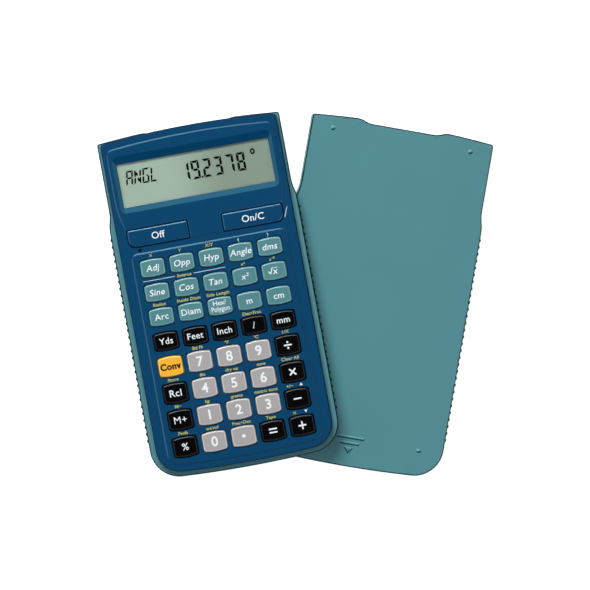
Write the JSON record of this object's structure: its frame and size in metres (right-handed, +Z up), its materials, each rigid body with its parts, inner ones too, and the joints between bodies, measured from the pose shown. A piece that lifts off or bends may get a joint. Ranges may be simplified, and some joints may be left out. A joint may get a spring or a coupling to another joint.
{
  "type": "construction calculator",
  "caption": "Pocket construction calculator with a blue face, ribbed teal back, sprung keys and battery door, leaning on its loose teal slide-off cover.",
  "frame": {"origin": "middle of the bottom of the whole part's box, on the surface that it rests on", "axes": "+Z up, +Y along the cover's length towards its notched end, +X to the right seen from above; the calculator is turned 20.2 degrees anticlockwise from +Y and leans 5.16 degrees on the cover's left edge"},
  "size_m": [0.1626, 0.1576, 0.0224],
  "materials": {
    "blue_plastic": "satin moulded plastic with a fine spark texture",
    "teal_plastic": "fine-textured moulded plastic, low sheen",
    "teal_key": "satin moulded key with a printed white legend",
    "black_key": "satin black moulded key with a printed white legend",
    "grey_key": "satin light grey moulded key with a printed white figure",
    "yellow_key": "satin yellow moulded key with a printed dark legend",
    "clear_window": "thin clear polished window",
    "lcd_glass": "reflective grey-green display glass",
    "black_rubber": "layered conductive rubber strip",
    "membrane_rubber": "translucent grey silicone rubber",
    "board_laminate": "green glass-fibre laminate with solder resist",
    "cell_steel": "bright pressed steel can",
    "contact_steel": "thin plated spring steel",
    "screw_steel": "zinc-plated steel",
    "white_print": "thin white screen-printed legend on a key or the face",
    "yellow_print": "thin yellow screen-printed legend on the face",
    "dark_print": "thin dark screen-printed legend",
    "lcd_segment": "dark driven segments of the display"
  },
  "bodies": {
    "calculator_body": {"front_housing": "blue_plastic", "rear_housing": "teal_plastic", "display_window": "clear_window", "lcd_panel": "lcd_glass", "lcd_connector": "black_rubber", "circuit_board": "board_laminate", "keypad_membrane": "membrane_rubber", "button_cell_upper": "cell_steel", "button_cell_lower": "cell_steel", "battery_contact_positive": "contact_steel", "battery_contact_negative": "contact_steel", "screw_upper_left": "screw_steel", "screw_upper_right": "screw_steel", "screw_lower_left": "screw_steel", "screw_lower_right": "screw_steel"},
    "adjacent_key": {"adjacent_key": "teal_key"},
    "opposite_key": {"opposite_key": "teal_key"},
    "hypotenuse_key": {"hypotenuse_key": "teal_key"},
    "angle_key": {"angle_key": "teal_key"},
    "degrees_key": {"degrees_key": "teal_key"},
    "sine_key": {"sine_key": "teal_key"},
    "cosine_key": {"cosine_key": "teal_key"},
    "tangent_key": {"tangent_key": "teal_key"},
    "square_key": {"square_key": "teal_key"},
    "root_key": {"root_key": "teal_key"},
    "arc_key": {"arc_key": "teal_key"},
    "diameter_key": {"diameter_key": "teal_key"},
    "polygon_key": {"polygon_key": "teal_key"},
    "metre_key": {"metre_key": "teal_key"},
    "centimetre_key": {"centimetre_key": "teal_key"},
    "yards_key": {"yards_key": "black_key"},
    "feet_key": {"feet_key": "black_key"},
    "inch_key": {"inch_key": "black_key"},
    "fraction_key": {"fraction_key": "black_key"},
    "millimetre_key": {"millimetre_key": "black_key"},
    "convert_key": {"convert_key": "yellow_key"},
    "key_7": {"key_7": "grey_key"},
    "key_8": {"key_8": "grey_key"},
    "key_9": {"key_9": "grey_key"},
    "divide_key": {"divide_key": "black_key"},
    "recall_key": {"recall_key": "black_key"},
    "key_4": {"key_4": "grey_key"},
    "key_5": {"key_5": "grey_key"},
    "key_6": {"key_6": "grey_key"},
    "multiply_key": {"multiply_key": "black_key"},
    "memory_key": {"memory_key": "black_key"},
    "key_1": {"key_1": "grey_key"},
    "key_2": {"key_2": "grey_key"},
    "key_3": {"key_3": "grey_key"},
    "minus_key": {"minus_key": "black_key"},
    "percent_key": {"percent_key": "black_key"},
    "key_0": {"key_0": "grey_key"},
    "point_key": {"point_key": "grey_key"},
    "equals_key": {"equals_key": "black_key"},
    "plus_key": {"plus_key": "black_key"},
    "off_key": {"off_key": "blue_plastic"},
    "on_clear_key": {"on_clear_key": "blue_plastic"},
    "battery_door": {"battery_door": "teal_plastic"},
    "slide_cover": {"slide_cover": "teal_plastic"}
  },
  "joints": [
    {"name": "adjacent_key_press", "type": "slide", "parent": "calculator_body", "child": "adjacent_key", "axis": [0.09, 0, -0.9959], "range_m": [0, 0.0008], "stiffness_N_per_m": 800},
    {"name": "opposite_key_press", "type": "slide", "parent": "calculator_body", "child": "opposite_key", "axis": [0.09, 0, -0.9959], "range_m": [0, 0.0008], "stiffness_N_per_m": 800},
    {"name": "hypotenuse_key_press", "type": "slide", "parent": "calculator_body", "child": "hypotenuse_key", "axis": [0.09, 0, -0.9959], "range_m": [0, 0.0008], "stiffness_N_per_m": 800},
    {"name": "angle_key_press", "type": "slide", "parent": "calculator_body", "child": "angle_key", "axis": [0.09, 0, -0.9959], "range_m": [0, 0.0008], "stiffness_N_per_m": 800},
    {"name": "degrees_key_press", "type": "slide", "parent": "calculator_body", "child": "degrees_key", "axis": [0.09, 0, -0.9959], "range_m": [0, 0.0008], "stiffness_N_per_m": 800},
    {"name": "sine_key_press", "type": "slide", "parent": "calculator_body", "child": "sine_key", "axis": [0.09, 0, -0.9959], "range_m": [0, 0.0008], "stiffness_N_per_m": 800},
    {"name": "cosine_key_press", "type": "slide", "parent": "calculator_body", "child": "cosine_key", "axis": [0.09, 0, -0.9959], "range_m": [0, 0.0008], "stiffness_N_per_m": 800},
    {"name": "tangent_key_press", "type": "slide", "parent": "calculator_body", "child": "tangent_key", "axis": [0.09, 0, -0.9959], "range_m": [0, 0.0008], "stiffness_N_per_m": 800},
    {"name": "square_key_press", "type": "slide", "parent": "calculator_body", "child": "square_key", "axis": [0.09, 0, -0.9959], "range_m": [0, 0.0008], "stiffness_N_per_m": 800},
    {"name": "root_key_press", "type": "slide", "parent": "calculator_body", "child": "root_key", "axis": [0.09, 0, -0.9959], "range_m": [0, 0.0008], "stiffness_N_per_m": 800},
    {"name": "arc_key_press", "type": "slide", "parent": "calculator_body", "child": "arc_key", "axis": [0.09, 0, -0.9959], "range_m": [0, 0.0008], "stiffness_N_per_m": 800},
    {"name": "diameter_key_press", "type": "slide", "parent": "calculator_body", "child": "diameter_key", "axis": [0.09, 0, -0.9959], "range_m": [0, 0.0008], "stiffness_N_per_m": 800},
    {"name": "polygon_key_press", "type": "slide", "parent": "calculator_body", "child": "polygon_key", "axis": [0.09, 0, -0.9959], "range_m": [0, 0.0008], "stiffness_N_per_m": 800},
    {"name": "metre_key_press", "type": "slide", "parent": "calculator_body", "child": "metre_key", "axis": [0.09, 0, -0.9959], "range_m": [0, 0.0008], "stiffness_N_per_m": 800},
    {"name": "centimetre_key_press", "type": "slide", "parent": "calculator_body", "child": "centimetre_key", "axis": [0.09, 0, -0.9959], "range_m": [0, 0.0008], "stiffness_N_per_m": 800},
    {"name": "yards_key_press", "type": "slide", "parent": "calculator_body", "child": "yards_key", "axis": [0.09, 0, -0.9959], "range_m": [0, 0.0008], "stiffness_N_per_m": 800},
    {"name": "feet_key_press", "type": "slide", "parent": "calculator_body", "child": "feet_key", "axis": [0.09, 0, -0.9959], "range_m": [0, 0.0008], "stiffness_N_per_m": 800},
    {"name": "inch_key_press", "type": "slide", "parent": "calculator_body", "child": "inch_key", "axis": [0.09, 0, -0.9959], "range_m": [0, 0.0008], "stiffness_N_per_m": 800},
    {"name": "fraction_key_press", "type": "slide", "parent": "calculator_body", "child": "fraction_key", "axis": [0.09, 0, -0.9959], "range_m": [0, 0.0008], "stiffness_N_per_m": 800},
    {"name": "millimetre_key_press", "type": "slide", "parent": "calculator_body", "child": "millimetre_key", "axis": [0.09, 0, -0.9959], "range_m": [0, 0.0008], "stiffness_N_per_m": 800},
    {"name": "convert_key_press", "type": "slide", "parent": "calculator_body", "child": "convert_key", "axis": [0.09, 0, -0.9959], "range_m": [0, 0.0008], "stiffness_N_per_m": 800},
    {"name": "key_7_press", "type": "slide", "parent": "calculator_body", "child": "key_7", "axis": [0.09, 0, -0.9959], "range_m": [0, 0.0008], "stiffness_N_per_m": 800},
    {"name": "key_8_press", "type": "slide", "parent": "calculator_body", "child": "key_8", "axis": [0.09, 0, -0.9959], "range_m": [0, 0.0008], "stiffness_N_per_m": 800},
    {"name": "key_9_press", "type": "slide", "parent": "calculator_body", "child": "key_9", "axis": [0.09, 0, -0.9959], "range_m": [0, 0.0008], "stiffness_N_per_m": 800},
    {"name": "divide_key_press", "type": "slide", "parent": "calculator_body", "child": "divide_key", "axis": [0.09, 0, -0.9959], "range_m": [0, 0.0008], "stiffness_N_per_m": 800},
    {"name": "recall_key_press", "type": "slide", "parent": "calculator_body", "child": "recall_key", "axis": [0.09, 0, -0.9959], "range_m": [0, 0.0008], "stiffness_N_per_m": 800},
    {"name": "key_4_press", "type": "slide", "parent": "calculator_body", "child": "key_4", "axis": [0.09, 0, -0.9959], "range_m": [0, 0.0008], "stiffness_N_per_m": 800},
    {"name": "key_5_press", "type": "slide", "parent": "calculator_body", "child": "key_5", "axis": [0.09, 0, -0.9959], "range_m": [0, 0.0008], "stiffness_N_per_m": 800},
    {"name": "key_6_press", "type": "slide", "parent": "calculator_body", "child": "key_6", "axis": [0.09, 0, -0.9959], "range_m": [0, 0.0008], "stiffness_N_per_m": 800},
    {"name": "multiply_key_press", "type": "slide", "parent": "calculator_body", "child": "multiply_key", "axis": [0.09, 0, -0.9959], "range_m": [0, 0.0008], "stiffness_N_per_m": 800},
    {"name": "memory_key_press", "type": "slide", "parent": "calculator_body", "child": "memory_key", "axis": [0.09, 0, -0.9959], "range_m": [0, 0.0008], "stiffness_N_per_m": 800},
    {"name": "key_1_press", "type": "slide", "parent": "calculator_body", "child": "key_1", "axis": [0.09, 0, -0.9959], "range_m": [0, 0.0008], "stiffness_N_per_m": 800},
    {"name": "key_2_press", "type": "slide", "parent": "calculator_body", "child": "key_2", "axis": [0.09, 0, -0.9959], "range_m": [0, 0.0008], "stiffness_N_per_m": 800},
    {"name": "key_3_press", "type": "slide", "parent": "calculator_body", "child": "key_3", "axis": [0.09, 0, -0.9959], "range_m": [0, 0.0008], "stiffness_N_per_m": 800},
    {"name": "minus_key_press", "type": "slide", "parent": "calculator_body", "child": "minus_key", "axis": [0.09, 0, -0.9959], "range_m": [0, 0.0008], "stiffness_N_per_m": 800},
    {"name": "percent_key_press", "type": "slide", "parent": "calculator_body", "child": "percent_key", "axis": [0.09, 0, -0.9959], "range_m": [0, 0.0008], "stiffness_N_per_m": 800},
    {"name": "key_0_press", "type": "slide", "parent": "calculator_body", "child": "key_0", "axis": [0.09, 0, -0.9959], "range_m": [0, 0.0008], "stiffness_N_per_m": 800},
    {"name": "point_key_press", "type": "slide", "parent": "calculator_body", "child": "point_key", "axis": [0.09, 0, -0.9959], "range_m": [0, 0.0008], "stiffness_N_per_m": 800},
    {"name": "equals_key_press", "type": "slide", "parent": "calculator_body", "child": "equals_key", "axis": [0.09, 0, -0.9959], "range_m": [0, 0.0008], "stiffness_N_per_m": 800},
    {"name": "plus_key_press", "type": "slide", "parent": "calculator_body", "child": "plus_key", "axis": [0.09, 0, -0.9959], "range_m": [0, 0.0008], "stiffness_N_per_m": 800},
    {"name": "off_key_press", "type": "slide", "parent": "calculator_body", "child": "off_key", "axis": [0.09, 0, -0.9959], "range_m": [0, 0.0008], "stiffness_N_per_m": 800},
    {"name": "on_clear_key_press", "type": "slide", "parent": "calculator_body", "child": "on_clear_key", "axis": [0.09, 0, -0.9959], "range_m": [0, 0.0008], "stiffness_N_per_m": 800},
    {"name": "battery_door_slide", "type": "slide", "parent": "calculator_body", "child": "battery_door", "axis": [-0.3439, 0.9385, -0.0311], "range_m": [0, 0.028]},
    {"name": "slide_cover_draw", "type": "slide", "parent": "calculator_body", "child": "slide_cover", "axis": [1, 0, 0], "range_m": [0, 0.045]}
  ]
}
